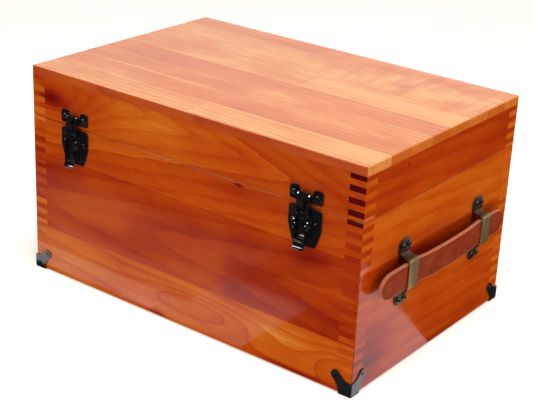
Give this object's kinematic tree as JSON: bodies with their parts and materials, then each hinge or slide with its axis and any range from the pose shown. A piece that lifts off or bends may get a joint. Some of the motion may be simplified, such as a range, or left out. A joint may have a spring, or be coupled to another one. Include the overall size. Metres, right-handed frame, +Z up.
{
  "type": "footlocker",
  "caption": "Varnished hardwood footlocker with finger-jointed corners, hinged lid, black draw latches, corner protectors and leather strap handles.",
  "frame": {"origin": "middle of the footprint, on the surface that the locker stands on", "axes": "+X along the length to the right seen from the latches, +Y to the hinges, +Z up"},
  "size_m": [0.4806, 0.324, 0.2483],
  "materials": {
    "case_wood": "gloss varnish over orange-red hardwood",
    "top_wood": "gloss varnish over edge-glued staves",
    "bottom_plywood": "plain plywood",
    "black_enamel": "gloss black",
    "black_screw": "gloss black",
    "handle_bronze": "dark antique bronze",
    "strap_leather": "red-brown vegetable-tanned leather with a raw tan edge",
    "steel": "plain"
  },
  "bodies": {
    "case": {"base_front_panel": "case_wood", "base_back_panel": "case_wood", "base_left_panel": "case_wood", "base_right_panel": "case_wood", "base_bottom_panel": "bottom_plywood", "corner_front_left": "black_enamel", "corner_front_right": "black_enamel", "corner_back_left": "black_enamel", "corner_back_right": "black_enamel", "latch_left_base_plate": "black_enamel", "latch_left_pivot_rivet_a": "steel", "latch_left_pivot_rivet_b": "steel", "hinge_left_base_leaf": "black_enamel", "hinge_left_pin": "steel", "latch_right_base_plate": "black_enamel", "latch_right_pivot_rivet_a": "steel", "latch_right_pivot_rivet_b": "steel", "hinge_right_base_leaf": "black_enamel", "hinge_right_pin": "steel", "handle_left_front_bracket": "handle_bronze", "handle_left_front_screw_1": "black_screw", "handle_left_front_screw_2": "black_screw", "handle_left_front_screw_3": "black_screw", "handle_left_front_screw_4": "black_screw", "handle_left_back_bracket": "handle_bronze", "handle_left_back_screw_1": "black_screw", "handle_left_back_screw_2": "black_screw", "handle_left_back_screw_3": "black_screw", "handle_left_back_screw_4": "black_screw", "handle_right_front_bracket": "handle_bronze", "handle_right_front_screw_1": "black_screw", "handle_right_front_screw_2": "black_screw", "handle_right_front_screw_3": "black_screw", "handle_right_front_screw_4": "black_screw", "handle_right_back_bracket": "handle_bronze", "handle_right_back_screw_1": "black_screw", "handle_right_back_screw_2": "black_screw", "handle_right_back_screw_3": "black_screw", "handle_right_back_screw_4": "black_screw"},
    "lid": {"lid_front_panel": "case_wood", "lid_back_panel": "case_wood", "lid_left_panel": "case_wood", "lid_right_panel": "case_wood", "lid_top_board": "top_wood", "latch_left_catch_plate": "black_enamel", "latch_left_catch_screw_a": "black_screw", "latch_left_catch_screw_b": "black_screw", "hinge_left_lid_leaf": "black_enamel", "latch_right_catch_plate": "black_enamel", "latch_right_catch_screw_a": "black_screw", "latch_right_catch_screw_b": "black_screw", "hinge_right_lid_leaf": "black_enamel"},
    "lever_left": {"latch_left_lever": "black_enamel", "latch_left_claw_pin": "steel"},
    "claw_left": {"latch_left_claw": "black_enamel"},
    "strap_left": {"handle_left_strap": "strap_leather"},
    "lever_right": {"latch_right_lever": "black_enamel", "latch_right_claw_pin": "steel"},
    "claw_right": {"latch_right_claw": "black_enamel"},
    "strap_right": {"handle_right_strap": "strap_leather"}
  },
  "joints": [
    {"name": "lid_hinge", "type": "hinge", "parent": "case", "child": "lid", "pos_m": [0, 0.1553, 0.1908], "axis": [-1, 0, 0], "range_deg": [0, 95]},
    {"name": "latch_left_lever_hinge", "type": "hinge", "parent": "case", "child": "lever_left", "pos_m": [-0.158, -0.1556, 0.1713], "axis": [-1, 0, 0], "range_deg": [0, 100]},
    {"name": "latch_left_claw_hinge", "type": "hinge", "parent": "lever_left", "child": "claw_left", "pos_m": [-0.158, -0.1526, 0.1588], "axis": [-1, 0, 0], "range_deg": [-100, 0]},
    {"name": "latch_right_lever_hinge", "type": "hinge", "parent": "case", "child": "lever_right", "pos_m": [0.158, -0.1556, 0.1713], "axis": [-1, 0, 0], "range_deg": [0, 100]},
    {"name": "latch_right_claw_hinge", "type": "hinge", "parent": "lever_right", "child": "claw_right", "pos_m": [0.158, -0.1526, 0.1588], "axis": [-1, 0, 0], "range_deg": [-100, 0]},
    {"name": "strap_left_slide", "type": "slide", "parent": "case", "child": "strap_left", "axis": [0, 1, 0], "range_m": [-0.004, 0.004]},
    {"name": "strap_right_slide", "type": "slide", "parent": "case", "child": "strap_right", "axis": [0, 1, 0], "range_m": [-0.004, 0.004]}
  ],
  "couplings": [
    {"joint": "latch_left_claw_hinge", "follows": "latch_left_lever_hinge", "ratio": -1},
    {"joint": "latch_right_claw_hinge", "follows": "latch_right_lever_hinge", "ratio": -1}
  ]
}
